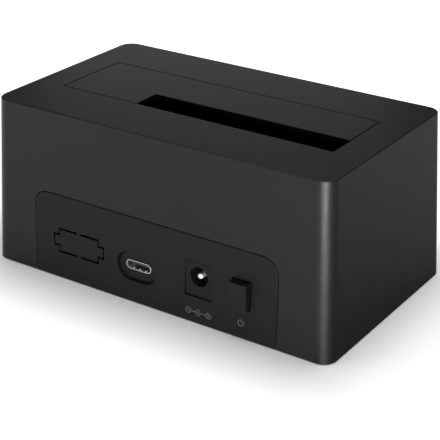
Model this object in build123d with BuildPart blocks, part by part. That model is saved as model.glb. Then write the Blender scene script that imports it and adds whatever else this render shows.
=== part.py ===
from build123d import *
import math
import os

# A single-bay hard drive docking station: a leaning, open-bottomed housing with a sprung
# flap over the drive bay, a rear panel of ports, and a board on a screwed base plate.
# Millimetres, +Z up. The front faces -Y and the ports face +Y. The origin is on the
# surface under the feet, below the middle of the whole object, button included.

# Clearances that every piece shares
seam = 0.3
seat_gap = 0.05
running_gap = 0.05
fixed_gap = 0.02
loose_gap = 0.3
overrun = 1.0

# Housing: its outside at the lower edge, and how far its walls lean in on the way up
shell_length = 131.6
shell_width = 75.8
shell_height = 57.5
end_lean = 2.79
side_lean = 2.25
shell_corner = 4.7
top_edge_chamfer = 0.25
wall = 2.2
deck = 2.4

# Base plate and feet
foot_proud = 0.3
foot_diameter = 9.0
foot_recess = 0.8
foot_chamfer = 0.25
foot_from_end = 21.0
foot_from_side = 9.4
base_recess = 0.6
base_thickness = 2.2
pad_height = 1.6
pad_radius = 4.6

# Screws
base_head_radius = 2.7
base_head_height = 1.7
base_shank_radius = 1.4
base_shank_length = 12.0
small_head_radius = 2.2
small_head_height = 1.5
small_shank_radius = 1.0
small_shank_length = 5.0
cross_slot = 0.5
cross_share = 1.3
boss_wall = 1.7
boss_rib = 1.2
boss_from_end = 9.8
boss_from_side = 9.4

# Drive bay in the deck, its distances taken from the housing's outside at the lower edge, and
# the long slot that the flap leaves open. A 3.5 inch drive, 101.6 wide, goes in with 1.0 to
# spare at each end.
bay_from_end = 14.0
bay_from_side = 23.0
bay_corner = 0.25
slot_length = 73.0
slot_width_share = 0.3658

# Flap and its hinge under the front edge of the bay
flap_seam = 0.45
flap_thickness = 1.5
knuckle_radius = 1.5
knuckle_width = 5.0
hinge_setback = 1.6
rod_radius = 1.0
arm_root = 1.8
ear_thickness = 2.0
ear_from_end = 2.8
knuckle_room = 0.6
spring_wire = 0.4
spring_turns = 4
spring_room = 4.0
spring_leg_angle = 25.0
pocket_drop = 3.6

# Drive guide that hangs under the deck
guide_wall = 1.6
tab_length = 8.0
tab_width = 8.0
tab_drop = 5.0
tab_from_end = 11.8

# Main board
standoff_height = 4.9
standoff_radius = 3.0
board_thickness = 1.6
board_from_end = 22.3
board_from_front = 8.4
board_from_rear = 4.9
board_corner = 1.5
board_hole_inset = 3.2
rear_hole_back = 15.5

# Drive socket: distances from the corner of the bay that both drive sizes share. Its height
# sets the guide's floor, which leaves 2.4 below the flap when that hangs open.
socket_from_end = 30.12
socket_from_rear = 4.0
socket_height = 8.55
contact_pitch = 1.27
power_contacts = 15
signal_contacts = 7
segment_space = 6.35
slot_margin = 1.2
nose_margin = 1.1
nose_width = 5.2
nose_height = 4.4
socket_shoulder = 1.6
blade_slot = 1.4
blade_depth = 6.0
key_leg = 1.1
contact_width = 0.8
contact_thickness = 0.35

# Rear panel, and the places of what it holds as shares of its length from its middle
panel_from_end = 18.7
knockout_share = 0.3079
port_share = 0.0568
dc_share = -0.1977
button_share = -0.3646
panel_height = 29.3
panel_corner = 5.5
panel_frame = 3.0
panel_flange = 2.0
flange_thickness = 1.2
keeper_width = 4.0
keeper_height = 9.0
keeper_thickness = 1.6

# Knock-out plate in the rear panel
knockout_height = 13.5
knockout_length = 16.15
knockout_depth = 8.1
knockout_ear_length = 20.55
knockout_ear_depth = 3.8
slit = 0.7
bridge = 1.25

# Data port
port_rise = 2.9
port_recess_length = 15.5
port_recess_height = 10.0
port_recess_depth = 1.3
port_recess_taper = 21.0
port_shell_width = 9.9
port_shell_height = 3.26
port_shell_wall = 0.3
port_shell_length = 8.6
port_tongue_width = 7.4
port_tongue_thickness = 0.7
port_tongue_length = 4.6
port_tongue_back = 1.2
port_contact_pitch = 0.5
port_contact_count = 12
port_contact_width = 0.26
port_contact_thickness = 0.1
port_tab_count = 3
port_tab_back = 0.25
port_tab_pitch = 2.37
port_tab_width = 0.6
port_tab_height = 0.5
port_tab_offset = -0.4
port_tab_length = 1.6
port_leg_length = 1.4

# Power inlet
dc_rise = 6.5
dc_face_width = 10.4
dc_face_height = 12.2
dc_face_below = 7.1
dc_face_thickness = 1.6
dc_face_gap = 0.1
dc_body_width = 9.0
dc_body_length = 13.0
dc_top_wall = 1.3
dc_bore_radius = 3.3
dc_bore_depth = 9.6
dc_pin_radius = 0.95
dc_pin_root = 2.0
dc_pin_back = 0.6
dc_leaf_back = 4.0
dc_leaf_width = 2.0
dc_leaf_thickness = 0.3

# Power button and its switch
button_rise = 5.45
button_width = 6.3
button_height = 9.1
button_proud = 2.5
button_travel = 1.8
button_edge = 0.4
button_gap = 0.35
button_lip = 0.7
button_lip_thickness = 1.0
switch_width = 8.4
switch_length = 9.8
switch_back_wall = 1.6
stem_width = 3.2
stem_engaged = 3.8
stem_in_button = 2.6
switch_wire = 0.35
switch_turns = 6

# Status light at the front
light_rise = 1.6
pipe_radius = 1.5
pipe_proud = 0.3
collar_radius = 2.6
collar_thickness = 1.2
led_width = 3.2
led_depth = 1.6
led_height = 3.0

# Board parts
bridge_chip_side = 10.0
chip_height = 1.1
chip_chamfer = 0.2
small_chip_length = 5.0
small_chip_width = 4.0
small_chip_height = 1.5
lead_width = 0.42
lead_length = 1.0
lead_height = 0.5
leads_per_side = 4
lead_pitch = 1.27
coil_side = 7.0
coil_height = 4.0
can_radius = 3.15
can_height = 7.4
can_base = 0.8
can_base_corner = 0.8
can_edge_round = 0.4
crystal_length = 5.0
crystal_width = 3.2
crystal_height = 1.2
diode_length = 4.6
diode_width = 3.6
diode_height = 2.2
ceramic_length = 2.0
ceramic_width = 1.25
resistor_length = 1.6
resistor_width = 0.8
passive_height = 0.6
passive_gap = 0.3
row_count = 6

# Places on the board, as shares of its length and of its width, from its middle
bridge_chip_shares = (0.12, -0.03)
firmware_chip_shares = (0.32, 0.1)
regulator_shares = ((-0.16, -0.26), (0.02, -0.26))
coil_shares = ((-0.31, -0.26), (0.15, -0.26))
can_shares = ((0.19, 0.35), (0.3, 0.35), (0.41, 0.35))
crystal_shares = (0.24, -0.05)
diode_shares = (0.04, 0.3)
resistor_row_shares = (0.03, -0.38)
row_span_share = 0.16

# Heights
edge_z = foot_proud
top_z = edge_z + shell_height
deck_low = top_z - deck
base_low = edge_z + base_recess
base_top = base_low + base_thickness
board_low = base_top + standoff_height
board_top = board_low + board_thickness
port_z = board_top + port_rise
dc_z = board_top + dc_rise
button_z = board_top + button_rise
light_z = board_top + light_rise
knockout_z = edge_z + knockout_height


def half_length(z):
    """Outside of the end walls at a height."""
    return shell_length / 2 - end_lean * (z - edge_z) / shell_height


def half_width(z):
    """Outside of the front and rear walls at a height, from the housing's middle."""
    return shell_width / 2 - side_lean * (z - edge_z) / shell_height


# Outlines that follow the housing
bay_length = shell_length - 2 * bay_from_end
bay_width = shell_width - 2 * bay_from_side
slot_width = slot_width_share * bay_width
panel_length = shell_length - 2 * panel_from_end
board_length = shell_length - 2 * board_from_end
board_front = shell_width / 2 - board_from_front
board_rear = shell_width / 2 - board_from_rear
board_width = board_front + board_rear
board_middle = (board_rear - board_front) / 2
knockout_x = knockout_share * panel_length
port_x = port_share * panel_length
dc_x = dc_share * panel_length
button_x = button_share * panel_length

# The button stands out past the rear wall, so the housing's middle lies ahead of the origin.
button_front = half_width(button_z) + button_proud
middle_y = -max(button_front - shell_width / 2, 0) / 2
lean = math.atan2(side_lean, shell_height)


def level(z):
    """Horizontal plane through the housing's middle, seen from above."""
    return Plane((0, middle_y, z))


def facing_rear(y):
    """Upright plane across the housing: x runs along it and y runs up, its normal is forward."""
    return Plane((0, middle_y + y, 0), x_dir=(1, 0, 0), z_dir=(0, -1, 0))


def across(x):
    """Upright plane square to the housing's length: x runs to the rear and y runs up."""
    return Plane((x, middle_y, 0), x_dir=(0, 1, 0), z_dir=(1, 0, 0))


def rear_wall(depth):
    """Plane of the leaning rear wall, its zero at the lower edge, at a depth into the wall."""
    inward = (0, -math.cos(lean), -math.sin(lean))
    return Plane((0, middle_y + shell_width / 2, edge_z), x_dir=(1, 0, 0), z_dir=inward).offset(depth)


def shell_section(z, inset=0.0):
    """Rounded outline of the leaning housing at a height, or of its inside."""
    length = 2 * (half_length(z) - inset)
    width = 2 * (half_width(z) - inset)
    with BuildSketch(level(z)) as section:
        RectangleRounded(length, width, max(shell_corner - inset, top_edge_chamfer))
    return section.sketch


def panel_outline(plane, grow, low):
    """The rear panel's arched outline on a plane of the rear wall."""
    high = panel_height + grow
    with BuildSketch(plane) as outline:
        with Locations((0, (low + high) / 2)):
            Rectangle(panel_length + 2 * grow, high - low)
        fillet(outline.vertices().group_by(Axis.Y)[-1], panel_corner + grow)
    return outline.sketch


def finish(part, name):
    """Labels a finished piece and writes it."""
    part.label = name
    export_step(part, "parts/" + name + ".step")


def screws(plane, places, up, head_radius, head_height, shank_radius, shank_length):
    """Pan-head screws whose heads bear on the plane, above it or below it."""
    with BuildPart(plane) as group:
        with BuildSketch(plane):
            with Locations(*places):
                Circle(head_radius)
        extrude(amount=up * head_height)
        with BuildSketch(plane):
            with Locations(*places):
                Circle(shank_radius)
        extrude(amount=-up * shank_length)
        with BuildSketch(plane.offset(up * head_height)):
            with Locations(*places):
                Rectangle(cross_share * head_radius, cross_slot)
                Rectangle(cross_slot, cross_share * head_radius)
        extrude(amount=-up * head_height / 2, mode=Mode.SUBTRACT)
    return group.part


def board_place(shares):
    """A point on the board, from shares of its length and width."""
    return (shares[0] * board_length, board_middle + shares[1] * board_width)


os.makedirs("parts", exist_ok=True)

# Places that several pieces share
boss_x = half_length(edge_z) - boss_from_end
boss_y = half_width(edge_z) - boss_from_side
boss_places = [(x, y) for x in (-boss_x, boss_x) for y in (-boss_y, boss_y)]
boss_radius = base_shank_radius + boss_wall
boss_low = base_top + pad_height + seat_gap
foot_x = half_length(edge_z) - foot_from_end
foot_y = half_width(edge_z) - foot_from_side
guide_out = bay_width / 2 + guide_wall
hinge_y = -bay_width / 2 - hinge_setback
hinge_z = deck_low - loose_gap - knuckle_radius
channel_in = hinge_y - knuckle_radius - knuckle_room
channel_out = channel_in - guide_wall
tab_x = bay_length / 2 - tab_from_end
tab_places = [
    (x, y)
    for x in (-tab_x, tab_x)
    for y in (channel_out - tab_length / 2, guide_out + tab_length / 2)
]
tab_top = deck_low - tab_drop
tab_boss_radius = small_shank_radius + boss_wall
panel_outer = wall * math.cos(lean)
rim_low = top_z - top_edge_chamfer
through_panel = side_lean + wall + 2 * overrun

# Housing, open at the bottom. Its hollow is made first, so that bosses and ribs can be left in it.
with BuildPart() as hollow:
    loft([shell_section(edge_z - overrun, wall), shell_section(deck_low, wall)], ruled=True)
    with BuildSketch(level(boss_low)):
        with Locations(*boss_places):
            Circle(boss_radius)
        for x, y in boss_places:
            with Locations((x + math.copysign(boss_from_end / 2, x), y)):
                Rectangle(boss_from_end, boss_rib)
            with Locations((x, y + math.copysign(boss_from_side / 2, y))):
                Rectangle(boss_rib, boss_from_side)
    extrude(amount=deck_low - boss_low + overrun, mode=Mode.SUBTRACT)
    with BuildSketch(level(tab_top)):
        with Locations(*tab_places):
            Circle(tab_boss_radius)
    extrude(amount=tab_drop + overrun, mode=Mode.SUBTRACT)

with BuildPart() as upper_housing:
    loft([shell_section(edge_z), shell_section(rim_low)], ruled=True)
    loft([shell_section(rim_low), shell_section(top_z, top_edge_chamfer)], ruled=True)
    add(hollow.part, mode=Mode.SUBTRACT)
    with BuildSketch(level(deck_low - overrun)):
        RectangleRounded(bay_length, bay_width, bay_corner)
    extrude(amount=deck + 2 * overrun, mode=Mode.SUBTRACT)
    opening = panel_outline(rear_wall(-overrun), seam, -overrun)
    extrude(opening, amount=panel_outer + 2 * overrun, mode=Mode.SUBTRACT)
    with BuildSketch(level(boss_low)):
        with Locations(*boss_places):
            Circle(base_shank_radius + fixed_gap)
    extrude(amount=base_shank_length, mode=Mode.SUBTRACT)
    with BuildSketch(level(tab_top)):
        with Locations(*tab_places):
            Circle(small_shank_radius + fixed_gap)
    extrude(amount=small_shank_length, mode=Mode.SUBTRACT)
    with BuildSketch(facing_rear(-half_width(light_z) + wall + overrun)):
        with Locations((0, light_z)):
            Circle(pipe_radius + fixed_gap)
    extrude(amount=wall + 2 * overrun, mode=Mode.SUBTRACT)
finish(upper_housing.part, "upper_housing")

# Flap: an L-shaped plate that leaves the long slot open, with two arms to its hinge rod.
# Places along the rod, from the end of the bay inwards: ear, spring, knuckle, ear.
ear_x = bay_length / 2 - ear_from_end
spring_x = ear_x - ear_thickness / 2 - spring_room
knuckle_x = spring_x - knuckle_width / 2
inner_ear_x = knuckle_x - knuckle_width / 2 - loose_gap - ear_thickness / 2
ear_places = [-ear_x, -inner_ear_x, 0, inner_ear_x, ear_x]
arm_y = -bay_width / 2 + flap_seam
plate_low = top_z - flap_thickness
with BuildPart() as door_flap:
    with BuildSketch(level(plate_low)):
        RectangleRounded(bay_length - 2 * flap_seam, bay_width - 2 * flap_seam, bay_corner)
        with Locations((-bay_length / 2, bay_width / 2)):
            Rectangle(slot_length, slot_width, align=(Align.MIN, Align.MAX), mode=Mode.SUBTRACT)
    extrude(amount=flap_thickness)
    for x in (-knuckle_x, knuckle_x):
        with BuildSketch(across(x)):
            with Locations((hinge_y, hinge_z)):
                Circle(knuckle_radius)
            with BuildLine():
                Polyline(
                    (hinge_y, hinge_z + knuckle_radius),
                    (arm_y, hinge_z + knuckle_radius),
                    (arm_y, plate_low + flap_thickness / 2),
                    (arm_y + arm_root, plate_low + flap_thickness / 2),
                    (arm_y + arm_root, plate_low),
                    (hinge_y + knuckle_radius, hinge_z),
                    (hinge_y, hinge_z),
                    close=True,
                )
            make_face()
            with Locations((hinge_y, hinge_z)):
                Circle(rod_radius + running_gap, mode=Mode.SUBTRACT)
        extrude(amount=knuckle_width / 2, both=True)
finish(door_flap.part, "door_flap")

# Hinge rod, held at its ends between the guide's end walls
with BuildPart() as hinge_rod:
    with BuildSketch(across(0)):
        with Locations((hinge_y, hinge_z)):
            Circle(rod_radius)
    extrude(amount=bay_length / 2 - loose_gap, both=True)
finish(hinge_rod.part, "hinge_rod")

# Flap springs: one leg stands on the guide's front wall, the other lifts the plate
coil_radius = rod_radius + running_gap + spring_wire
leg_angle = math.radians(spring_leg_angle)
spring_pitch = spring_wire + running_gap
whole_turns = spring_turns + 1 - (90 - spring_leg_angle) / 360
coil_length = whole_turns * spring_pitch
coil_start_x = spring_x + (spring_room - coil_length) / 2
leg_rise = plate_low - seat_gap - spring_wire / 2 - hinge_z
plate_leg = (leg_rise + coil_radius * math.cos(leg_angle) - spring_wire / 2) / math.sin(leg_angle)
stand_leg = pocket_drop - seat_gap
coil_axis = Plane((coil_start_x, middle_y + hinge_y, hinge_z), x_dir=(0, 1, 0), z_dir=(1, 0, 0))
turns = coil_axis * Helix(spring_pitch, coil_length, coil_radius)
with BuildPart() as hinge_spring_right:
    with BuildLine() as spring_path:
        Line(turns @ 0 - stand_leg * (turns % 0), turns @ 0)
        add(turns)
        Line(turns @ 1, turns @ 1 + plate_leg * (turns % 1))
    with BuildSketch(Plane(spring_path.wire() @ 0, z_dir=spring_path.wire() % 0)):
        Circle(spring_wire / 2)
    sweep(path=spring_path.wire(), is_frenet=True)
finish(hinge_spring_right.part, "hinge_spring_right")

with BuildPart() as hinge_spring_left:
    mirror(hinge_spring_right.part, about=Plane.YZ)
finish(hinge_spring_left.part, "hinge_spring_left")

# Drive guide: a chute under the deck, set back at the top for the hinge, with a window for the socket
socket_low = board_top + seat_gap
shoulder_top = socket_low + socket_height
floor_low = shoulder_top + loose_gap
floor_z = floor_low + guide_wall
guide_top = deck_low - seat_gap
shelf_z = hinge_z - pocket_drop
socket_x = -bay_length / 2 + socket_from_end
socket_y = bay_width / 2 - socket_from_rear
contact_span = (power_contacts + signal_contacts - 2) * contact_pitch + segment_space
nose_length = contact_span + 2 * (slot_margin + nose_margin)
with BuildPart() as bay_guide:
    with BuildSketch(across(0)):
        with BuildLine():
            Polyline(
                (guide_out, guide_top),
                (guide_out, floor_low),
                (-guide_out, floor_low),
                (-guide_out, shelf_z - guide_wall),
                (channel_out, shelf_z - guide_wall),
                (channel_out, guide_top),
                close=True,
            )
        make_face()
    extrude(amount=bay_length / 2 + guide_wall, both=True)
    with BuildSketch(across(0)):
        with BuildLine():
            Polyline(
                (bay_width / 2, guide_top + overrun),
                (bay_width / 2, floor_z),
                (-bay_width / 2, floor_z),
                (-bay_width / 2, shelf_z),
                (channel_in, shelf_z),
                (channel_in, guide_top + overrun),
                close=True,
            )
        make_face()
    extrude(amount=bay_length / 2, both=True, mode=Mode.SUBTRACT)
    for x in ear_places:
        with BuildSketch(across(x)):
            with Locations((hinge_y, shelf_z)):
                Rectangle(
                    2 * knuckle_radius,
                    pocket_drop + knuckle_radius,
                    align=(Align.CENTER, Align.MIN),
                )
            with Locations((hinge_y, hinge_z)):
                Circle(rod_radius + fixed_gap, mode=Mode.SUBTRACT)
        extrude(amount=ear_thickness / 2, both=True)
    with BuildSketch(level(tab_top - seat_gap)):
        with Locations(*tab_places):
            Rectangle(tab_width, tab_length)
        with Locations(*tab_places):
            Circle(small_shank_radius + fixed_gap, mode=Mode.SUBTRACT)
    extrude(amount=-guide_wall)
    with BuildSketch(level(floor_low - overrun)):
        with Locations((socket_x, socket_y)):
            Rectangle(nose_length + 2 * loose_gap, nose_width + 2 * loose_gap)
    extrude(amount=guide_wall + 2 * overrun, mode=Mode.SUBTRACT)
finish(bay_guide.part, "bay_guide")

guide_screws = screws(
    level(tab_top - seat_gap - guide_wall),
    tab_places,
    -1,
    small_head_radius,
    small_head_height,
    small_shank_radius,
    small_shank_length,
)
finish(guide_screws, "guide_screws")

# Base plate, let into the housing, with screw pads, board standoffs and keepers for the panel
board_hole_x = board_length / 2 - board_hole_inset
board_holes = [
    (x, y)
    for x in (-board_hole_x, board_hole_x)
    for y in (-board_front + board_hole_inset, board_rear - rear_hole_back)
]
flange_depth = panel_outer + seat_gap + flange_thickness
keeper_x = panel_length / 2
keeper_y = half_width(base_top + keeper_height) - flange_depth / math.cos(lean) - seat_gap
with BuildPart() as base_plate:
    add(shell_section(base_low, wall + seam))
    extrude(amount=base_thickness)
    with BuildSketch(level(base_top)):
        with Locations(*boss_places):
            Circle(pad_radius)
    extrude(amount=pad_height)
    with BuildSketch(level(base_top)):
        with Locations(*board_holes):
            Circle(standoff_radius)
    extrude(amount=standoff_height - seat_gap)
    with BuildSketch(level(base_top)):
        with Locations((-keeper_x, keeper_y), (keeper_x, keeper_y)):
            Rectangle(keeper_width, keeper_thickness, align=(Align.CENTER, Align.MAX))
    extrude(amount=keeper_height)
    with BuildSketch(level(base_low)):
        with Locations(*boss_places):
            Circle(base_head_radius + loose_gap)
    extrude(amount=base_head_height + loose_gap, mode=Mode.SUBTRACT)
    with BuildSketch(level(base_low)):
        with Locations(*boss_places):
            Circle(base_shank_radius + fixed_gap)
    extrude(amount=base_thickness + pad_height + overrun, mode=Mode.SUBTRACT)
    with BuildSketch(level(board_low)):
        with Locations(*board_holes):
            Circle(small_shank_radius + fixed_gap)
    extrude(amount=-small_shank_length, mode=Mode.SUBTRACT)
    with BuildSketch(level(base_low)):
        with GridLocations(2 * foot_x, 2 * foot_y, 2, 2):
            Circle(foot_diameter / 2 + seat_gap)
    extrude(amount=foot_recess, mode=Mode.SUBTRACT)
finish(base_plate.part, "base_plate")

base_screws = screws(
    level(base_low + base_head_height + loose_gap),
    boss_places,
    -1,
    base_head_radius,
    base_head_height,
    base_shank_radius,
    base_shank_length,
)
finish(base_screws, "base_screws")

# Rubber feet, one in each recess of the base plate
feet = {
    "foot_front_left": (-foot_x, -foot_y),
    "foot_front_right": (foot_x, -foot_y),
    "foot_rear_left": (-foot_x, foot_y),
    "foot_rear_right": (foot_x, foot_y),
}
for foot_name, foot_place in feet.items():
    with BuildPart() as foot:
        with BuildSketch(level(0)):
            with Locations(foot_place):
                Circle(foot_diameter / 2)
        extrude(amount=base_low + foot_recess - seat_gap)
        chamfer(foot.faces().sort_by(Axis.Z)[0].edges(), foot_chamfer)
    finish(foot.part, foot_name)

# Rear panel: a plate flush with the leaning wall, a frame and flange that lie behind the wall,
# a recess round the data port, cut-outs for the inlet and the button, and a knock-out plate
flange_low = base_top + loose_gap - edge_z
dc_opening_low = dc_z - dc_face_below
with BuildPart() as rear_port_panel:
    extrude(panel_outline(rear_wall(0), 0, 0), amount=panel_outer)
    with BuildSketch(rear_wall(panel_outer)):
        add(panel_outline(Plane.XY, 0, flange_low))
        add(panel_outline(Plane.XY, -panel_frame, flange_low - overrun), mode=Mode.SUBTRACT)
    extrude(amount=seat_gap + flange_thickness)
    with BuildSketch(rear_wall(panel_outer + seat_gap)):
        add(panel_outline(Plane.XY, panel_flange, flange_low))
        add(panel_outline(Plane.XY, -panel_frame, flange_low - overrun), mode=Mode.SUBTRACT)
    extrude(amount=flange_thickness)
    with BuildSketch(facing_rear(shell_width / 2 + overrun)):
        with Locations((dc_x, dc_opening_low)):
            Rectangle(dc_face_width, dc_face_height, align=(Align.CENTER, Align.MIN))
        with Locations((button_x, button_z)):
            Rectangle(button_width + 2 * button_gap, button_height + 2 * button_gap)
    extrude(amount=through_panel, mode=Mode.SUBTRACT)
    with BuildSketch(facing_rear(shell_width / 2 + overrun)):
        with Locations((port_x, port_z)):
            SlotOverall(port_shell_width + 2 * loose_gap, port_shell_height + 2 * loose_gap)
    extrude(amount=through_panel, mode=Mode.SUBTRACT)
    with BuildSketch(rear_wall(0)):
        with Locations((port_x, (port_z - edge_z) / math.cos(lean))):
            SlotOverall(port_recess_length, port_recess_height)
    extrude(amount=port_recess_depth, taper=port_recess_taper, mode=Mode.SUBTRACT)
    with BuildSketch(facing_rear(shell_width / 2 + overrun)):
        with Locations((knockout_x, knockout_z)):
            Rectangle(knockout_length + slit, knockout_depth + slit)
            Rectangle(knockout_ear_length + slit, knockout_ear_depth + slit)
            Rectangle(knockout_length - slit, knockout_depth - slit, mode=Mode.SUBTRACT)
            Rectangle(knockout_ear_length - slit, knockout_ear_depth - slit, mode=Mode.SUBTRACT)
            Rectangle(bridge, knockout_depth + 2 * slit, mode=Mode.SUBTRACT)
    extrude(amount=through_panel, mode=Mode.SUBTRACT)
finish(rear_port_panel.part, "rear_port_panel")

# Main board
with BuildPart() as main_board:
    with BuildSketch(level(board_low)):
        with Locations((0, board_middle)):
            RectangleRounded(board_length, board_width, board_corner)
        with Locations(*board_holes):
            Circle(small_shank_radius + fixed_gap, mode=Mode.SUBTRACT)
    extrude(amount=board_thickness)
finish(main_board.part, "main_board")

board_screws = screws(
    level(board_top + seat_gap),
    board_holes,
    1,
    small_head_radius,
    small_head_height,
    small_shank_radius,
    small_shank_length,
)
finish(board_screws, "board_screws")

# Drive socket: its nose stands through the guide's floor, with a keyed slot for each segment
nose_top = floor_z + nose_height
first_contact_x = socket_x - contact_span / 2
power_span = (power_contacts - 1) * contact_pitch
signal_span = (signal_contacts - 1) * contact_pitch
signal_start_x = first_contact_x + power_span + segment_space
segments = [(first_contact_x, power_span), (signal_start_x, signal_span)]
with BuildPart() as drive_socket:
    with BuildSketch(level(socket_low)):
        with Locations((socket_x, socket_y)):
            Rectangle(nose_length + 2 * socket_shoulder, nose_width + socket_shoulder)
    extrude(amount=shoulder_top - socket_low)
    with BuildSketch(level(shoulder_top)):
        with Locations((socket_x, socket_y)):
            Rectangle(nose_length, nose_width)
    extrude(amount=nose_top - shoulder_top)
    with BuildSketch(level(nose_top)):
        for start, span in segments:
            with Locations((start + span / 2, socket_y)):
                Rectangle(span + 2 * slot_margin, blade_slot)
            with Locations((start + span + slot_margin, socket_y)):
                Rectangle(key_leg, blade_slot / 2 + key_leg, align=(Align.MAX, Align.MIN))
    extrude(amount=-blade_depth, mode=Mode.SUBTRACT)
finish(drive_socket.part, "drive_socket")

with BuildPart() as drive_socket_contacts:
    contact_y = socket_y - blade_slot / 2 + fixed_gap
    with BuildSketch(level(nose_top - blade_depth + fixed_gap)):
        for start, span in segments:
            count = round(span / contact_pitch) + 1
            for step in range(count):
                with Locations((start + step * contact_pitch, contact_y)):
                    Rectangle(contact_width, contact_thickness, align=(Align.CENTER, Align.MIN))
    extrude(amount=blade_depth - contact_width)
finish(drive_socket_contacts.part, "drive_socket_contacts")

# Data port: a drawn metal shell round an insulator, whose tongue carries two rows of contacts
port_front = half_width(port_z) - port_recess_depth + seat_gap
port_back = port_front - port_shell_length
port_inner_width = port_shell_width - 2 * port_shell_wall
port_inner_height = port_shell_height - 2 * port_shell_wall
port_low = port_z - port_shell_height / 2
leg_offset = (port_shell_width - port_shell_wall) / 2
with BuildPart() as data_port_shell:
    with BuildSketch(facing_rear(port_front)):
        with Locations((port_x, port_z)):
            SlotOverall(port_shell_width, port_shell_height)
            SlotOverall(port_inner_width, port_inner_height, mode=Mode.SUBTRACT)
    extrude(amount=port_shell_length)
    with BuildSketch(facing_rear(port_front - port_tab_back)):
        for step in range(port_tab_count):
            offset = (step - (port_tab_count - 1) / 2) * port_tab_pitch
            with Locations((port_x + port_tab_offset + offset, port_low + port_shell_wall / 2)):
                Rectangle(
                    port_tab_width,
                    port_shell_wall / 2 + port_tab_height,
                    align=(Align.CENTER, Align.MIN),
                )
    extrude(amount=port_tab_length)
    for leg_y in (port_front - 2 * port_leg_length, port_back + port_leg_length):
        with BuildSketch(level(board_top + seat_gap)):
            with Locations((port_x - leg_offset, leg_y), (port_x + leg_offset, leg_y)):
                Rectangle(port_shell_wall, port_leg_length)
        extrude(amount=port_z - board_top)
finish(data_port_shell.part, "data_port_shell")

tongue_front = port_front - port_tongue_back
tongue_root = tongue_front - port_tongue_length
with BuildPart() as data_port_insulator:
    with BuildSketch(facing_rear(tongue_front)):
        with Locations((port_x, port_z)):
            Rectangle(port_tongue_width, port_tongue_thickness)
    extrude(amount=port_tongue_length)
    with BuildSketch(facing_rear(tongue_root)):
        with Locations((port_x, port_z)):
            SlotOverall(port_inner_width - 2 * fixed_gap, port_inner_height - 2 * fixed_gap)
    extrude(amount=tongue_root - port_back + port_leg_length)
    with BuildSketch(facing_rear(port_back - seat_gap)):
        with Locations((port_x, board_top + seat_gap)):
            Rectangle(
                port_inner_width,
                port_z - board_top,
                align=(Align.CENTER, Align.MIN),
            )
    extrude(amount=port_leg_length)
finish(data_port_insulator.part, "data_port_insulator")

with BuildPart() as data_port_contacts:
    row_offset = (port_tongue_thickness + port_contact_thickness) / 2 + fixed_gap
    with BuildSketch(facing_rear(tongue_front - port_contact_pitch)):
        for row_z in (port_z - row_offset, port_z + row_offset):
            with Locations((port_x, row_z)):
                with GridLocations(port_contact_pitch, port_contact_pitch, port_contact_count, 1):
                    Rectangle(port_contact_width, port_contact_thickness)
    extrude(amount=port_tongue_length - port_contact_pitch - fixed_gap)
finish(data_port_contacts.part, "data_port_contacts")

# Power inlet: an insulating body whose face fills its cut-out, a centre pin and a leaf contact
dc_face_low = dc_opening_low + dc_face_gap
dc_face_top = dc_opening_low + dc_face_height - dc_face_gap
dc_front = half_width(dc_face_top) - seat_gap
dc_body_top = dc_z + dc_bore_radius + dc_top_wall
dc_block_top = min(dc_body_top, dc_face_top)
dc_bore_end = dc_front - dc_bore_depth
with BuildPart() as dc_jack_housing:
    with BuildSketch(facing_rear(dc_front)):
        with Locations((dc_x, dc_face_low)):
            Rectangle(
                dc_face_width - 2 * dc_face_gap,
                dc_face_top - dc_face_low,
                align=(Align.CENTER, Align.MIN),
            )
    extrude(amount=dc_face_thickness)
    with BuildSketch(facing_rear(dc_front - dc_face_thickness)):
        with Locations((dc_x, board_top + seat_gap)):
            Rectangle(
                dc_body_width,
                dc_block_top - board_top - seat_gap,
                align=(Align.CENTER, Align.MIN),
            )
    extrude(amount=dc_body_length - dc_face_thickness)
    with BuildSketch(facing_rear(dc_front)):
        with Locations((dc_x, dc_z)):
            Circle(dc_bore_radius)
    extrude(amount=dc_bore_depth, mode=Mode.SUBTRACT)
    with BuildSketch(facing_rear(dc_bore_end)):
        with Locations((dc_x, dc_z)):
            Circle(dc_pin_radius + fixed_gap)
    extrude(amount=dc_pin_root, mode=Mode.SUBTRACT)
finish(dc_jack_housing.part, "dc_jack_housing")

with BuildPart() as dc_jack_pin:
    with BuildSketch(facing_rear(dc_front - dc_pin_back)):
        with Locations((dc_x, dc_z)):
            Circle(dc_pin_radius)
    extrude(amount=dc_bore_depth - dc_pin_back + dc_pin_root - fixed_gap)
    fillet(dc_jack_pin.faces().sort_by(Axis.Y)[-1].edges(), dc_pin_radius / 2)
finish(dc_jack_pin.part, "dc_jack_pin")

leaf_low = dc_z - math.sqrt(dc_bore_radius**2 - (dc_leaf_width / 2) ** 2) + fixed_gap
with BuildPart() as dc_jack_contact:
    with BuildSketch(facing_rear(dc_front - dc_leaf_back)):
        with Locations((dc_x, leaf_low)):
            Rectangle(dc_leaf_width, dc_leaf_thickness, align=(Align.CENTER, Align.MIN))
    extrude(amount=dc_bore_depth - dc_leaf_back - fixed_gap)
finish(dc_jack_contact.part, "dc_jack_contact")

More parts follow.
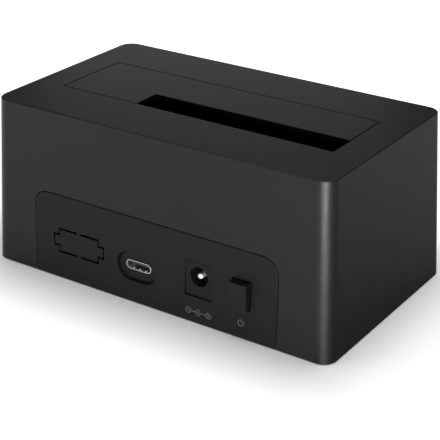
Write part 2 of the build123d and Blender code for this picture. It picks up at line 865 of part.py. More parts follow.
# Power button: a cap with a lip behind the panel, pushed out by the switch behind it
button_top = button_z + button_height / 2 + button_lip
lip_front = half_width(button_top) - panel_outer / math.cos(lean) - loose_gap
lip_back = lip_front - button_lip_thickness
switch_front = lip_back - button_travel - loose_gap
switch_rear = switch_front - switch_length
switch_height = 2 * (button_z - board_top - seat_gap)
stem_back = switch_front - stem_engaged
stem_front = lip_back + stem_in_button
chamber_end = switch_rear + switch_back_wall
with BuildPart() as power_button:
    with BuildSketch(facing_rear(button_front)):
        with Locations((button_x, button_z)):
            Rectangle(button_width, button_height)
    extrude(amount=button_front - lip_back)
    fillet(power_button.edges().filter_by(Axis.Y), button_edge)
    fillet(power_button.faces().sort_by(Axis.Y)[-1].edges(), button_edge / 2)
    with BuildSketch(facing_rear(lip_front)):
        with Locations((button_x, button_z)):
            Rectangle(button_width + 2 * button_lip, button_height + 2 * button_lip)
    extrude(amount=button_lip_thickness)
    with BuildSketch(facing_rear(lip_back)):
        with Locations((button_x, button_z)):
            Rectangle(stem_width + 2 * fixed_gap, stem_width + 2 * fixed_gap)
    extrude(amount=-(stem_in_button + fixed_gap), mode=Mode.SUBTRACT)
finish(power_button.part, "power_button")

with BuildPart() as switch_plunger:
    with BuildSketch(facing_rear(stem_front)):
        with Locations((button_x, button_z)):
            Rectangle(stem_width, stem_width)
    extrude(amount=stem_front - stem_back)
finish(switch_plunger.part, "switch_plunger")

with BuildPart() as switch_body:
    with BuildSketch(facing_rear(switch_front)):
        with Locations((button_x, button_z)):
            Rectangle(switch_width, switch_height)
    extrude(amount=switch_length)
    with BuildSketch(facing_rear(switch_front)):
        with Locations((button_x, button_z)):
            Rectangle(stem_width + 2 * running_gap, stem_width + 2 * running_gap)
    extrude(amount=switch_front - chamber_end, mode=Mode.SUBTRACT)
finish(switch_body.part, "switch_body")

switch_spring_length = stem_back - chamber_end - 2 * seat_gap - switch_wire
switch_spring_radius = stem_width / 2 - switch_wire
switch_spring_y = middle_y + chamber_end + seat_gap + switch_wire / 2
spring_base = Plane((button_x, switch_spring_y, button_z), z_dir=(0, 1, 0))
switch_coil = spring_base * Helix(
    switch_spring_length / switch_turns,
    switch_spring_length,
    switch_spring_radius,
)
with BuildPart() as switch_spring:
    with BuildLine() as switch_path:
        add(switch_coil)
    with BuildSketch(Plane(switch_path.wire() @ 0, z_dir=switch_path.wire() % 0)):
        Circle(switch_wire / 2)
    sweep(path=switch_path.wire(), is_frenet=True)
finish(switch_spring.part, "switch_spring")

# Status light: a side-facing lamp at the board's front edge and a clear pipe to the front wall
led_front = -board_front
pipe_end = -half_width(light_z) - pipe_proud
collar_face = -half_width(light_z - collar_radius) + wall + loose_gap
with BuildPart() as status_led:
    with BuildSketch(level(board_top + seat_gap)):
        with Locations((0, led_front)):
            Rectangle(led_width, led_depth, align=(Align.CENTER, Align.MIN))
    extrude(amount=led_height)
finish(status_led.part, "status_led")

with BuildPart() as light_pipe:
    with BuildSketch(facing_rear(led_front - seat_gap)):
        with Locations((0, light_z)):
            Circle(pipe_radius)
    extrude(amount=led_front - seat_gap - pipe_end)
    fillet(light_pipe.faces().sort_by(Axis.Y)[0].edges(), pipe_proud / 2)
    with BuildSketch(facing_rear(collar_face + collar_thickness)):
        with Locations((0, light_z)):
            Circle(collar_radius)
    extrude(amount=collar_thickness)
finish(light_pipe.part, "light_pipe")


def board_block(name, shares, length, width, height):
    """A chamfered block on the board."""
    with BuildPart() as block:
        with BuildSketch(level(board_top + seat_gap)):
            with Locations(board_place(shares)):
                Rectangle(length, width)
        extrude(amount=height)
        chamfer(block.faces().sort_by(Axis.Z)[-1].edges(), chip_chamfer)
    finish(block.part, name)


board_block("bridge_chip", bridge_chip_shares, bridge_chip_side, bridge_chip_side, chip_height)
small_chip_shares = (firmware_chip_shares, *regulator_shares)
for chip_name, shares in zip(("firmware_chip", "regulator_drive", "regulator_logic"), small_chip_shares):
    board_block(chip_name, shares, small_chip_length, small_chip_width, small_chip_height)
board_block("coil_drive", coil_shares[0], coil_side, coil_side, coil_height)
board_block("coil_logic", coil_shares[1], coil_side, coil_side, coil_height)
board_block("crystal", crystal_shares, crystal_length, crystal_width, crystal_height)
board_block("input_diode", diode_shares, diode_length, diode_width, diode_height)

# Chip leads: a short foot at each side of the small chips
with BuildPart() as chip_leads:
    with BuildSketch(level(board_top + seat_gap)):
        for shares in small_chip_shares:
            chip_x, chip_y = board_place(shares)
            for side in (-1, 1):
                lead_y = chip_y + side * (small_chip_width / 2 + fixed_gap + lead_length / 2)
                with Locations((chip_x, lead_y)):
                    with GridLocations(lead_pitch, lead_pitch, leads_per_side, 1):
                        Rectangle(lead_width, lead_length)
    extrude(amount=lead_height)
finish(chip_leads.part, "chip_leads")

# Electrolytic capacitors: a can on a square base
for can_name, shares in zip(("capacitor_input", "capacitor_drive", "capacitor_logic"), can_shares):
    with BuildPart() as can:
        with BuildSketch(level(board_top + seat_gap)):
            with Locations(board_place(shares)):
                RectangleRounded(2 * can_radius, 2 * can_radius, can_base_corner)
        extrude(amount=can_base)
        with BuildSketch(level(board_top + seat_gap + can_base)):
            with Locations(board_place(shares)):
                Circle(can_radius - chip_chamfer)
        extrude(amount=can_height - can_base)
        fillet(can.faces().sort_by(Axis.Z)[-1].edges(), can_edge_round)
    finish(can.part, can_name)


def passive_row(name, place, length, width):
    """A row of small two-ended parts on the board."""
    step = row_span_share * board_length / (row_count - 1)
    with BuildPart() as row:
        with BuildSketch(level(board_top + seat_gap)):
            with Locations(place):
                with GridLocations(step, step, row_count, 1):
                    Rectangle(width, length)
        extrude(amount=passive_height)
    finish(row.part, name)


bridge_chip_front = board_place(bridge_chip_shares)[1] - bridge_chip_side / 2
ceramic_row_place = (0, bridge_chip_front - passive_gap - ceramic_length / 2)
resistor_row_place = board_place(resistor_row_shares)
passive_row("ceramic_capacitors", ceramic_row_place, ceramic_length, ceramic_width)
passive_row("chip_resistors", resistor_row_place, resistor_length, resistor_width)
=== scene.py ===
import math

import bmesh
import bpy
from mathutils import Matrix, Vector


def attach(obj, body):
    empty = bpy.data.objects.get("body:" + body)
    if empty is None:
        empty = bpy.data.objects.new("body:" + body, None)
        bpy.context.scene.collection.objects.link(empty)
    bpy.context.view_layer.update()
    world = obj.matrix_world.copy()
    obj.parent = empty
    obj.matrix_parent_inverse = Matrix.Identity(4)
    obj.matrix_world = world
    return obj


# A leaning charcoal drive dock seen from behind: CAD nodes in their real finishes, and the marks
# printed under the inlet and the button. Metres, +Z up, the ports face +Y.

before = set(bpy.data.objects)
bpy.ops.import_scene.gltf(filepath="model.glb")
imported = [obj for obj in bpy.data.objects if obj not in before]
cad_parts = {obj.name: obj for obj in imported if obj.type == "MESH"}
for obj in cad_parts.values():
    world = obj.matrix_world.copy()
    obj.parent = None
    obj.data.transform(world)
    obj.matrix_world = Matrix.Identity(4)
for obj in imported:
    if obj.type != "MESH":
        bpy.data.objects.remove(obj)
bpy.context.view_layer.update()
bpy.ops.object.select_all(action="DESELECT")

MM = 0.001

# Camera, fitted to 18 straight edges of the housing
CAMERA_PLACE = Vector((-226.04, 331.20, 206.11)) * MM
CAMERA_AZIMUTH = math.radians(214.0657)
CAMERA_ELEVATION = math.radians(25.3063)
CAMERA_LENS = 108.33
SENSOR_WIDTH = 36.0

# Rear wall: a point of it at the housing's lower edge, its lean, and its ways out and up
WALL_STEP = 2.25
WALL_HEIGHT = 57.5
WALL_FOOT = Vector((0, 36.9454, 0.3)) * MM
WALL_LEAN = math.atan2(WALL_STEP, WALL_HEIGHT)
WALL_OUT = Vector((0, math.cos(WALL_LEAN), math.sin(WALL_LEAN)))
WALL_UP = Vector((0, -math.sin(WALL_LEAN), math.cos(WALL_LEAN)))

# Depth of the recess round the data port
RECESS_DEPTH = 1.3 * MM

# Printed marks: ink, stroke, and their middles on the rear wall as x and height above its foot
INK = 0.03 * MM
STROKE = 0.25 * MM
POWER_MARK = Vector((-34.6, 5.1)) * MM
POLARITY_MARK = Vector((-18.8, 3.65)) * MM

# Power mark: its ring, the share of the ring left open, and the stroke's middle as a share
POWER_RADIUS = 1.15 * MM
POWER_GAP_SHARE = 0.5
POWER_STROKE_SHARE = 0.65

# Polarity mark: its rings, their distance from the cup, the open share of the cup and the signs
RING_RADIUS = 1.05 * MM
RING_FROM_CUP = 3.8 * MM
CUP_GAP_SHARE = 0.6
SIGN_SHARE = 0.8

# Sides of the rings and of the cup's dot
RING_SIDES = 40
DOT_SIDES = 16

# Floor: its size, half the part of it that the housing stands on, how far that part is moved
# for the painted shade, and how far that shade in its colour and in its dimmed glow reaches past it
FLOOR_SIZE = 40.0
FLOOR_HALF = Vector((65.8, 38.9, 0)) * MM
PAINTED_SHADE_OFFSET = Vector((8, 0, 0)) * MM
PAINTED_SHADE_SPREAD = 21 * MM
GLOW_REACH = 195 * MM
GLOW_IN_PAINTED_SHADE = 0.047
GLOW_FAR = 0.9

# Grey card for a painted reflection: its size and middle, the way on which the end wall mirrors it
# for the camera, and the stretch on that way over which its tone rises out of painted shade
CARD_SIZE = 500 * MM
CARD_MIDDLE = Vector((-310, -200, 0.2)) * MM
CARD_WAY = (-0.56, -0.83, 0)
CARD_RISE = (30 * MM, 200 * MM)

# Strength of the even pale surround as a light
SURROUND = 0.09


def linear(hex_colour):
    """The linear colour of an sRGB hex value."""
    channels = [int(hex_colour[i : i + 2], 16) / 255 for i in (1, 3, 5)]
    return tuple(
        c / 12.92 if c <= 0.04045 else ((c + 0.055) / 1.055) ** 2.4 for c in channels
    ) + (1.0,)


def add_node(owner, kind, values=None, links=None, **settings):
    """Adds a node with its settings, its inputs' values and the outputs linked to its inputs."""
    node = owner.node_tree.nodes.new("ShaderNode" + kind)
    for name, setting in settings.items():
        setattr(node, name, setting)
    for name, value in (values or {}).items():
        node.inputs[name].default_value = value
    for name, (source, output) in (links or {}).items():
        owner.node_tree.links.new(source.outputs[output], node.inputs[name])
    return node


def start_material(name):
    """An empty node material and the object's coordinates."""
    material = bpy.data.materials.new(name)
    material.use_nodes = True
    material.node_tree.nodes.clear()
    return material, add_node(material, "TexCoord")


def patches(material, place, size_mm, detail=2.0):
    """Noise whose patches are about a size in millimetres."""
    return add_node(
        material,
        "TexNoise",
        {"Scale": 1 / (size_mm * MM), "Detail": detail, "Roughness": 0.6},
        {"Vector": (place, "Object")},
    )


def blended(material, first, second, share):
    """Two factors blended into one, the second by a share."""
    return add_node(
        material, "Mix", {"Factor": share}, {"A": first, "B": second}, data_type="FLOAT"
    )


def toned(material, source, stops):
    """A colour ramp over a source, from (place, hex colour) stops."""
    node = add_node(material, "ValToRGB", None, {"Fac": source})
    elements = node.color_ramp.elements
    while len(elements) < len(stops):
        elements.new(0.5)
    for element, (place, colour) in zip(elements, stops):
        element.position = place
        element.color = linear(colour)
    return node


def finished(material, values, colour, gloss_source, gloss, height, depth_mm, edge_mm=0.0):
    """Ends a material: roughness over a range, relief of a real depth, and rounded edges."""
    rough = add_node(
        material, "MapRange", {"To Min": gloss[0], "To Max": gloss[1]}, {"Value": gloss_source}
    )
    links = {"Height": height}
    if edge_mm:
        edge = add_node(material, "Bevel", {"Radius": edge_mm * MM}, samples=6)
        links["Normal"] = (edge, "Normal")
    relief = add_node(material, "Bump", {"Strength": 0.6, "Distance": depth_mm * MM}, links)
    shader = add_node(
        material,
        "BsdfPrincipled",
        values,
        {
            "Base Color": colour,
            "Roughness": (rough, "Result"),
            "Normal": (relief, "Normal"),
        },
    )
    add_node(material, "OutputMaterial", None, {"Surface": (shader, "BSDF")})
    return material


def moulded_plastic(name, dark, light, grain_mm, depth_mm, gloss, level=0.5):
    """Moulded plastic: spark-eroded grain, uneven tone, soft edges and a level of sheen."""
    material, place = start_material(name)
    grain = patches(material, place, size_mm=grain_mm, detail=3.0)
    drift = patches(material, place, size_mm=38.0, detail=1.0)
    patch = patches(material, place, size_mm=4.5, detail=3.0)
    tone = blended(material, (drift, "Fac"), (patch, "Fac"), share=0.35)
    speck = blended(material, (tone, 0), (grain, "Fac"), share=0.4)
    colour = toned(material, (speck, 0), ((0.32, dark), (0.68, light)))
    return finished(
        material,
        {"IOR": 1.5, "Specular IOR Level": level},
        (colour, "Color"),
        gloss_source=(speck, 0),
        gloss=gloss,
        height=(grain, "Fac"),
        depth_mm=depth_mm,
        edge_mm=0.22,
    )


def worked_metal(name, dark, light, gloss, stretch, line_mm, depth_mm=0.004):
    """Drawn, ground or plated metal: fine lines across the stretched axis, a mottled tone."""
    material, place = start_material(name)
    stretched = add_node(material, "Mapping", {"Scale": stretch}, {"Vector": (place, "Object")})
    lines = add_node(
        material,
        "TexNoise",
        {"Scale": 1 / (line_mm * MM), "Detail": 4.0, "Roughness": 0.6},
        {"Vector": (stretched, "Vector")},
    )
    mottle = patches(material, place, size_mm=line_mm * 6, detail=3.0)
    worn = blended(material, (lines, "Fac"), (mottle, "Fac"), share=0.5)
    colour = toned(material, (worn, 0), ((0.3, dark), (0.68, light)))
    return finished(
        material,
        {"Metallic": 1.0},
        (colour, "Color"),
        gloss_source=(lines, "Fac"),
        gloss=gloss,
        height=(lines, "Fac"),
        depth_mm=depth_mm,
        edge_mm=0.06,
    )


def cast_block(name, dark, light, gloss, fleck_mm, depth_mm):
    """Pressed, cast or printed matter: a fine fleck in the tone and a matching dull grain."""
    material, place = start_material(name)
    fleck = add_node(
        material, "TexVoronoi", {"Scale": 1 / (fleck_mm * MM)}, {"Vector": (place, "Object")}
    )
    cloud = patches(material, place, size_mm=fleck_mm * 7, detail=3.0)
    mixed = blended(material, (fleck, "Distance"), (cloud, "Fac"), share=0.55)
    colour = toned(material, (mixed, 0), ((0.25, dark), (0.65, light)))
    return finished(
        material,
        {"IOR": 1.5},
        (colour, "Color"),
        gloss_source=(cloud, "Fac"),
        gloss=gloss,
        height=(mixed, 0),
        depth_mm=depth_mm,
        edge_mm=0.08,
    )


def masked_laminate():
    """Glass-epoxy board under green solder mask: copper runs and pours stand up lighter."""
    material, place = start_material("solder_masked_laminate")
    runs = add_node(
        material,
        "TexBrick",
        {
            "Scale": 1 / MM,
            "Mortar Size": 0.11,
            "Brick Width": 6.5,
            "Row Height": 0.9,
            "Color1": linear("#ffffff"),
            "Color2": linear("#c8c8c8"),
            "Mortar": linear("#000000"),
        },
        {"Vector": (place, "Object")},
        offset=0.37,
    )
    pour = patches(material, place, size_mm=14.0, detail=1.0)
    poured = toned(material, (pour, "Fac"), ((0.52, "#000000"), (0.54, "#ffffff")))
    copper = blended(material, (runs, "Color"), (poured, "Color"), share=0.5)
    colour = toned(material, (copper, 0), ((0.0, "#0f3d22"), (0.5, "#175a34"), (1.0, "#1e6b3f")))
    return finished(
        material,
        {"IOR": 1.55},
        (colour, "Color"),
        gloss_source=(pour, "Fac"),
        gloss=(0.25, 0.42),
        height=(copper, 0),
        depth_mm=0.035,
    )


def diffusing_pipe():
    """Moulded diffusing polycarbonate: milky, faint flow lines, a softly glossy end."""
    material, place = start_material("diffusing_polycarbonate")
    flow = patches(material, place, size_mm=1.6)
    colour = toned(material, (flow, "Fac"), ((0.3, "#b4b8ba"), (0.7, "#cdd1d3")))
    return finished(
        material,
        {"IOR": 1.585, "Transmission Weight": 0.35},
        (colour, "Color"),
        gloss_source=(flow, "Fac"),
        gloss=(0.16, 0.28),
        height=(flow, "Fac"),
        depth_mm=0.004,
        edge_mm=0.08,
    )


def painted_shade_on_sunk_walls(material):
    """Painted shade: walls between the rear wall and its recess floor lose most of their sheen."""
    nodes = material.node_tree.nodes
    out = add_node(
        material,
        "VectorMath",
        {1: WALL_OUT},
        {0: (nodes["Texture Coordinate"], "Object")},
        operation="DOT_PRODUCT",
    )
    sunk = add_node(
        material,
        "MapRange",
        {"From Min": WALL_OUT.dot(WALL_FOOT), "From Max": WALL_OUT.dot(WALL_FOOT) - RECESS_DEPTH},
        {"Value": (out, "Value")},
    )
    # Sheen by depth: low on the sunk walls, which paints shade on them
    sheen = toned(
        material,
        (sunk, "Result"),
        ((0.0, "#6f6f6f"), (0.12, "#1c1c1c"), (0.9, "#1c1c1c"), (1.0, "#6f6f6f")),
    )
    shader = nodes["Principled BSDF"]
    material.node_tree.links.new(sheen.outputs["Color"], shader.inputs["Specular IOR Level"])


# Charcoal ABS with a fine spark-eroded grain: near-black tone, a broad dull sheen
housing_abs, flap_abs = (
    moulded_plastic(
        "charcoal_abs_" + moulding,
        "#0a0a0b",
        "#0e0e0f",
        grain_mm=0.42,
        depth_mm=0.016,
        gloss=(0.39, 0.47),
        level=0.22,
    )
    for moulding in ("housing", "flap")
)
# The panel is a little duller; its recess and openings' walls lose their sheen as painted shade
panel_abs = moulded_plastic(
    "charcoal_abs_panel",
    "#09090a",
    "#0c0c0d",
    grain_mm=0.42,
    depth_mm=0.014,
    gloss=(0.41, 0.49),
    level=0.16,
)
painted_shade_on_sunk_walls(panel_abs)
# The button is polished a little finer than the panel round it
button_abs = moulded_plastic(
    "charcoal_abs_button",
    "#090909",
    "#0c0c0d",
    grain_mm=0.34,
    depth_mm=0.01,
    gloss=(0.4, 0.48),
    level=0.15,
)
# Black PBT of the power inlet: the panel's dullness with a finer grain
inlet_pbt = moulded_plastic(
    "black_pbt_inlet",
    "#09090a",
    "#0c0c0d",
    grain_mm=0.36,
    depth_mm=0.01,
    gloss=(0.42, 0.5),
    level=0.135,
)
# Coarse, dull black ABS of the base and the bay's guide, out of sight
base_abs = moulded_plastic(
    "black_abs_base", "#080809", "#0e0e0f", grain_mm=0.7, depth_mm=0.03, gloss=(0.5, 0.64)
)
guide_abs = moulded_plastic(
    "black_abs_guide",
    "#060607",
    "#0b0b0c",
    grain_mm=0.6,
    depth_mm=0.02,
    gloss=(0.55, 0.7),
    level=0.3,
)
# Black PBT: dark grey, even and a little shinier than the housing
switch_pbt = moulded_plastic(
    "black_pbt_switch", "#131314", "#1a1a1b", grain_mm=0.3, depth_mm=0.008, gloss=(0.4, 0.52)
)
# Natural acetal: creamy white with a waxy gloss
stem_pom = moulded_plastic(
    "natural_acetal_stem", "#d8d5ca", "#e6e4da", grain_mm=0.5, depth_mm=0.006, gloss=(0.25, 0.36)
)
# Glass-filled liquid crystal polymer: black with pale flow specks
socket_lcp = cast_block(
    "glass_filled_polymer", "#070708", "#161617", gloss=(0.38, 0.55), fleck_mm=0.25, depth_mm=0.01
)
# Moulded rubber: soft black, almost no gloss
foot_rubber = cast_block(
    "moulded_rubber", "#0c0c0d", "#191919", gloss=(0.72, 0.88), fleck_mm=0.5, depth_mm=0.03
)
# Zinc-plated steel: pale, faintly blue, slightly cloudy
screw_zinc = worked_metal(
    "zinc_plated_steel", "#9fa3a8", "#d0d3d6", gloss=(0.22, 0.4), stretch=(1, 1, 5), line_mm=0.4
)
# Ground steel: bright, with fine lines round the rod
rod_steel = worked_metal(
    "ground_steel",
    "#a8a8aa",
    "#d8d8da",
    gloss=(0.14, 0.28),
    stretch=(5, 1, 1),
    line_mm=0.2,
    depth_mm=0.002,
)
# Drawn spring wire: darker, warm grey and even
spring_steel = worked_metal(
    "drawn_spring_wire", "#7d7c7a", "#b2b0ac", gloss=(0.2, 0.36), stretch=(1, 1, 1), line_mm=0.3
)
# Bright nickel on a drawn steel shell: white highlights along the rim
port_nickel = worked_metal(
    "nickel_plated_shell", "#b0afac", "#d6d5d2", gloss=(0.24, 0.38), stretch=(1, 6, 1), line_mm=0.25
)
# Satin nickel on the inlet's pin: a pale shaft with a white tip
pin_nickel = worked_metal(
    "nickel_plated_pin",
    "#cfceca",
    "#f0efec",
    gloss=(0.5, 0.66),
    stretch=(1, 6, 1),
    line_mm=0.25,
    depth_mm=0.002,
)
# Hard gold plate: deep yellow and glossy
contact_gold = worked_metal(
    "gold_plated_contact", "#b98a2c", "#e3b65a", gloss=(0.14, 0.26), stretch=(1, 5, 1), line_mm=0.2
)
# The port's contacts have a thinner, duller gold flash
flash_gold = worked_metal(
    "gold_flashed_contact", "#7a6238", "#a1864f", gloss=(0.22, 0.36), stretch=(1, 5, 1), line_mm=0.2
)
# Tinned leads: pale and soft
lead_tin = worked_metal(
    "tinned_lead", "#a5a7a9", "#cfd1d2", gloss=(0.3, 0.46), stretch=(1, 1, 1), line_mm=0.3
)
# Drawn aluminium cans: silver white with fine rings
can_aluminium = worked_metal(
    "drawn_aluminium_can", "#aeb0b2", "#dcdddf", gloss=(0.24, 0.38), stretch=(1, 1, 6), line_mm=0.3
)
# Green solder mask over copper: satin, lighter where runs and pours lie under it
board_mask = masked_laminate()
# Transfer-moulded epoxy: charcoal with a silica fleck
chip_epoxy = cast_block(
    "moulded_epoxy", "#111213", "#202122", gloss=(0.45, 0.6), fleck_mm=0.2, depth_mm=0.008
)
# Pressed ferrite: dark grey, coarse and matt
core_ferrite = cast_block(
    "pressed_ferrite", "#2b2b2d", "#444447", gloss=(0.5, 0.68), fleck_mm=0.3, depth_mm=0.02
)
# Fired ceramic: tan and dense
ceramic = cast_block(
    "fired_ceramic", "#8d6f4d", "#b08f67", gloss=(0.3, 0.44), fleck_mm=0.2, depth_mm=0.004
)
# Glazed resistors: black glass over ceramic
resistor_film = cast_block(
    "glazed_resistor", "#0e0e10", "#1b1b1e", gloss=(0.18, 0.3), fleck_mm=0.2, depth_mm=0.003
)
# White lamp polymer: a warm white body
lamp_body = cast_block(
    "white_lamp_polymer", "#cfcfca", "#e9e9e4", gloss=(0.3, 0.44), fleck_mm=0.3, depth_mm=0.004
)
# Diffusing polycarbonate: a milky grey dot while the lamp behind it is off
pipe_polycarbonate = diffusing_pipe()
# Pad-printed ink: thin flat grey, slightly patchy
mark_ink = cast_block(
    "pad_printed_ink", "#303031", "#3c3c3d", gloss=(0.5, 0.62), fleck_mm=0.3, depth_mm=0.002
)

finishes = {
    "upper_housing": housing_abs,
    "rear_port_panel": panel_abs,
    "door_flap": flap_abs,
    "power_button": button_abs,
    "base_plate": base_abs,
    "bay_guide": guide_abs,
    "switch_body": switch_pbt,
    "switch_plunger": stem_pom,
    "drive_socket": socket_lcp,
    "data_port_insulator": socket_lcp,
    "dc_jack_housing": inlet_pbt,
    "foot_front_left": foot_rubber,
    "foot_front_right": foot_rubber,
    "foot_rear_left": foot_rubber,
    "foot_rear_right": foot_rubber,
    "base_screws": screw_zinc,
    "guide_screws": screw_zinc,
    "board_screws": screw_zinc,
    "hinge_rod": rod_steel,
    "hinge_spring_left": spring_steel,
    "hinge_spring_right": spring_steel,
    "switch_spring": spring_steel,
    "data_port_shell": port_nickel,
    "dc_jack_pin": pin_nickel,
    "dc_jack_contact": port_nickel,
    "drive_socket_contacts": contact_gold,
    "data_port_contacts": flash_gold,
    "chip_leads": lead_tin,
    "main_board": board_mask,
    "bridge_chip": chip_epoxy,
    "firmware_chip": chip_epoxy,
    "regulator_drive": chip_epoxy,
    "regulator_logic": chip_epoxy,
    "input_diode": chip_epoxy,
    "coil_drive": core_ferrite,
    "coil_logic": core_ferrite,
    "crystal": can_aluminium,
    "capacitor_input": can_aluminium,
    "capacitor_drive": can_aluminium,
    "capacitor_logic": can_aluminium,
    "ceramic_capacitors": ceramic,
    "chip_resistors": resistor_film,
    "status_led": lamp_body,
    "light_pipe": pipe_polycarbonate,
}
for node_name, node_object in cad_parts.items():
    for slot in node_object.material_slots:
        slot.material = finishes[node_name]


def pick_faces(mesh_object, wanted):
    """In edit mode, selects the faces whose middle passes a test, and no others."""
    mesh = bmesh.from_edit_mesh(mesh_object.data)
    for face in mesh.faces:
        face.select_set(wanted(face.calc_center_median()))
    mesh.select_flush_mode()
    bmesh.update_edit_mesh(mesh_object.data)


def start_mark(name, middle, radius):
    """A flat ring of one stroke, open for editing."""
    bpy.ops.object.select_all(action="DESELECT")
    bpy.ops.mesh.primitive_circle_add(
        vertices=RING_SIDES, radius=radius, fill_type="NGON", location=(middle[0], middle[1], 0)
    )
    mark = bpy.context.object
    mark.name = name
    bpy.ops.object.transform_apply(location=True, rotation=True, scale=True)
    bpy.ops.object.mode_set(mode="EDIT")
    bpy.ops.mesh.inset(thickness=STROKE)
    bpy.ops.mesh.delete(type="FACE")
    return mark


def stroke_to_mark(middle, length, height):
    """Adds a straight stroke to the mark that is open for editing."""
    bpy.ops.mesh.select_all(action="DESELECT")
    bpy.ops.mesh.primitive_plane_add(size=1.0, location=(middle[0], middle[1], 0))
    bpy.ops.transform.resize(
        value=(length, height, 1.0), center_override=(middle[0], middle[1], 0)
    )


def print_mark(mark, middle):
    """Closes a mark, gives it the ink's thickness and lays it on the leaning rear wall."""
    bpy.ops.object.mode_set(mode="OBJECT")
    ink = mark.modifiers.new("ink", "SOLIDIFY")
    ink.thickness = INK
    ink.offset = 1.0
    bpy.ops.object.modifier_apply(modifier=ink.name)
    along = Vector((-1, 0, 0))
    turn = Matrix((along, WALL_UP, WALL_OUT)).transposed().to_4x4()
    turn.translation = WALL_FOOT + Vector((middle[0], 0, 0)) + WALL_UP * middle[1]
    mark.matrix_world = turn
    bpy.ops.object.transform_apply(location=True, rotation=True, scale=True)
    bpy.ops.object.mode_set(mode="EDIT")
    bpy.ops.mesh.select_all(action="SELECT")
    bpy.ops.mesh.normals_make_consistent(inside=False)
    bpy.ops.object.mode_set(mode="OBJECT")
    mark.data.materials.append(mark_ink)
    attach(mark, "dock")


# Power mark: an open ring with an upright stroke in its gap
power_mark = start_mark("power_mark", (0, 0), POWER_RADIUS)
pick_faces(
    power_mark, lambda middle: middle.y > 0 and abs(middle.x) < POWER_RADIUS * POWER_GAP_SHARE
)
bpy.ops.mesh.delete(type="FACE")
stroke_to_mark((0, POWER_RADIUS * POWER_STROKE_SHARE), STROKE, POWER_RADIUS)
print_mark(power_mark, POWER_MARK)

# Polarity mark: a ring at each side joined by strokes to a cup and its point, the sleeve's sign
# in the left ring and the pin's sign in the right one
sign_length = RING_RADIUS * SIGN_SHARE
joining_length = RING_FROM_CUP - 2 * RING_RADIUS
for mark_name, side in (("sleeve_mark", -1), ("pin_mark", 1)):
    ring = start_mark(mark_name, (side * RING_FROM_CUP, 0), RING_RADIUS)
    stroke_to_mark((side * RING_FROM_CUP, 0), sign_length, STROKE)
    if side == 1:
        stroke_to_mark((side * RING_FROM_CUP, 0), STROKE, sign_length)
    stroke_to_mark((side * (RING_RADIUS + joining_length / 2), 0), joining_length, STROKE)
    print_mark(ring, POLARITY_MARK)
cup_mark = start_mark("cup_mark", (0, 0), RING_RADIUS)
pick_faces(cup_mark, lambda middle: middle.x > 0 and abs(middle.y) < RING_RADIUS * CUP_GAP_SHARE)
bpy.ops.mesh.delete(type="FACE")
bpy.ops.mesh.select_all(action="DESELECT")
bpy.ops.mesh.primitive_circle_add(
    vertices=DOT_SIDES, radius=STROKE, fill_type="NGON", location=(0, 0, 0)
)
stroke_to_mark((RING_RADIUS / 2, 0), RING_RADIUS, STROKE)
print_mark(cup_mark, POLARITY_MARK)


# Floor: white and slightly glossy, so the dark housing shows in it faintly
bpy.ops.object.select_all(action="DESELECT")
bpy.ops.mesh.primitive_plane_add(size=FLOOR_SIZE, location=(0, 0, 0))
floor = bpy.context.object
floor.name = "floor"
floor_white, floor_place = start_material("white_gloss_floor")
sheet = add_node(
    floor_white,
    "BsdfPrincipled",
    {"Roughness": 0.16, "Emission Color": linear("#ffffff")},
)
# The glow that whitens the floor is for the eye, mirrors and clear pieces alone
sight = add_node(floor_white, "LightPath")
seen = add_node(
    floor_white,
    "Math",
    None,
    {0: (sight, "Is Camera Ray"), 1: (sight, "Is Glossy Ray")},
    operation="MAXIMUM",
)
shown = add_node(
    floor_white,
    "Math",
    None,
    {0: (seen, "Value"), 1: (sight, "Is Transmission Ray")},
    operation="MAXIMUM",
)
# How far a point of the floor lies from the part that the housing stands on
shifted = add_node(
    floor_white, "VectorMath", {1: PAINTED_SHADE_OFFSET}, {0: (floor_place, "Object")}, operation="SUBTRACT"
)
folded = add_node(floor_white, "VectorMath", None, {0: (shifted, "Vector")}, operation="ABSOLUTE")
past = add_node(
    floor_white, "VectorMath", {1: FLOOR_HALF}, {0: (folded, "Vector")}, operation="SUBTRACT"
)
outside = add_node(
    floor_white, "VectorMath", {1: (0, 0, 0)}, {0: (past, "Vector")}, operation="MAXIMUM"
)
away = add_node(floor_white, "VectorMath", None, {0: (outside, "Vector")}, operation="LENGTH")
# The glow fades towards the housing: painted shade round its foot, mirrored by the walls too
glow = add_node(
    floor_white,
    "MapRange",
    {"From Max": GLOW_REACH, "To Min": GLOW_IN_PAINTED_SHADE, "To Max": GLOW_FAR},
    {"Value": (away, "Value")},
)
lit = add_node(
    floor_white, "Math", None, {0: (shown, "Value"), 1: (glow, "Result")}, operation="MULTIPLY"
)
floor_white.node_tree.links.new(lit.outputs["Value"], sheet.inputs["Emission Strength"])
# A painted contact shadow: the floor's colour darkens round the housing's foot
contact = add_node(floor_white, "MapRange", {"From Max": PAINTED_SHADE_SPREAD}, {"Value": (away, "Value")})
painted_shadow_floor_colour = toned(floor_white, (contact, "Result"), ((0.0, "#dadada"), (1.0, "#f4f4f4")))
floor_white.node_tree.links.new(painted_shadow_floor_colour.outputs["Color"], sheet.inputs["Base Color"])
add_node(floor_white, "OutputMaterial", None, {"Surface": (sheet, "BSDF")})
floor.data.materials.append(floor_white)
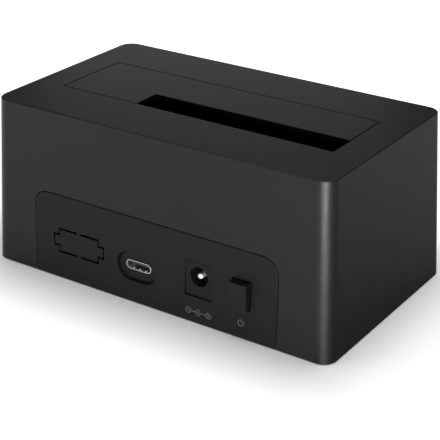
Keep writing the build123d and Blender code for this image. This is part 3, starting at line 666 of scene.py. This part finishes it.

# Grey card by the end wall, seen in reflections alone: a painted reflection that darkens that wall
bpy.ops.object.select_all(action="DESELECT")
bpy.ops.mesh.primitive_plane_add(size=CARD_SIZE, location=CARD_MIDDLE)
card = bpy.context.object
card.name = "grey_card"
bpy.ops.object.transform_apply(location=True, rotation=True, scale=True)
painted_reflection_material, card_place = start_material("painted_reflection_sheet")
slant = add_node(
    painted_reflection_material, "VectorMath", {1: CARD_WAY}, {0: (card_place, "Object")}, operation="DOT_PRODUCT"
)
rise = add_node(
    painted_reflection_material,
    "MapRange",
    {"From Min": CARD_RISE[0], "From Max": CARD_RISE[1]},
    {"Value": (slant, "Value")},
)
# Darker near the housing: painted shade that the end wall mirrors towards its foot
painted_shade_on_card = toned(painted_reflection_material, (rise, "Result"), ((0.0, "#717171"), (1.0, "#cecece")))
paper = add_node(
    painted_reflection_material, "BsdfPrincipled", {"Roughness": 0.9}, {"Base Color": (painted_shade_on_card, "Color")}
)
add_node(painted_reflection_material, "OutputMaterial", None, {"Surface": (paper, "BSDF")})
card.data.materials.append(painted_reflection_material)
card.visible_camera = False
card.visible_diffuse = False
card.visible_shadow = False
card.visible_transmission = False

# Soft studio light: an even pale surround, an overhead panel, a low strip by the camera for the
# near corner's highlight and a small panel beyond the housing that the deck mirrors
world = bpy.data.worlds.new("studio")
bpy.context.scene.world = world
world.use_nodes = True
surround = world.node_tree.nodes["Background"]
surround.inputs["Color"].default_value = linear("#ffffff")
# White to the eye past the floor's edge, and dim as a light
eye = add_node(world, "LightPath")
strength = add_node(
    world, "Math", {1: SURROUND}, {0: (eye, "Is Camera Ray")}, operation="MAXIMUM"
)
world.node_tree.links.new(strength.outputs["Value"], surround.inputs["Strength"])


def soft_light(name, place, aim, size, power):
    """A rectangular lamp of a size in metres, aimed at a point."""
    lamp = bpy.data.lights.new(name, "AREA")
    lamp.shape = "RECTANGLE"
    lamp.size, lamp.size_y = size
    lamp.energy = power
    lamp_object = bpy.data.objects.new(name, lamp)
    bpy.context.scene.collection.objects.link(lamp_object)
    lamp_object.location = place
    towards = Vector(aim) - Vector(place)
    lamp_object.rotation_euler = towards.to_track_quat("-Z", "Y").to_euler()
    lamp_object.visible_camera = False


soft_light(
    "overhead_panel",
    place=(0, 0, 2.0),
    aim=(0, 0, 0),
    size=(2.0, 2.0),
    power=50.0,
)
soft_light(
    "low_strip",
    place=(-0.35, 0.515, 0.014),
    aim=(-0.03, 0.02, 0.014),
    size=(0.34, 0.022),
    power=7.8,
)
soft_light(
    "far_panel",
    place=(0.116, -0.17, 0.107),
    aim=(0.04, -0.03, 0.0587),
    size=(0.175, 0.05),
    power=0.0195,
)

# Camera
camera = bpy.data.cameras.new("camera")
camera.lens = CAMERA_LENS
camera.sensor_width = SENSOR_WIDTH
camera_object = bpy.data.objects.new("camera", camera)
bpy.context.scene.collection.objects.link(camera_object)
camera_object.location = CAMERA_PLACE
camera_object.rotation_euler = (math.pi / 2 - CAMERA_ELEVATION, 0, CAMERA_AZIMUTH)
bpy.context.scene.camera = camera_object
bpy.context.scene.view_settings.view_transform = "Standard"
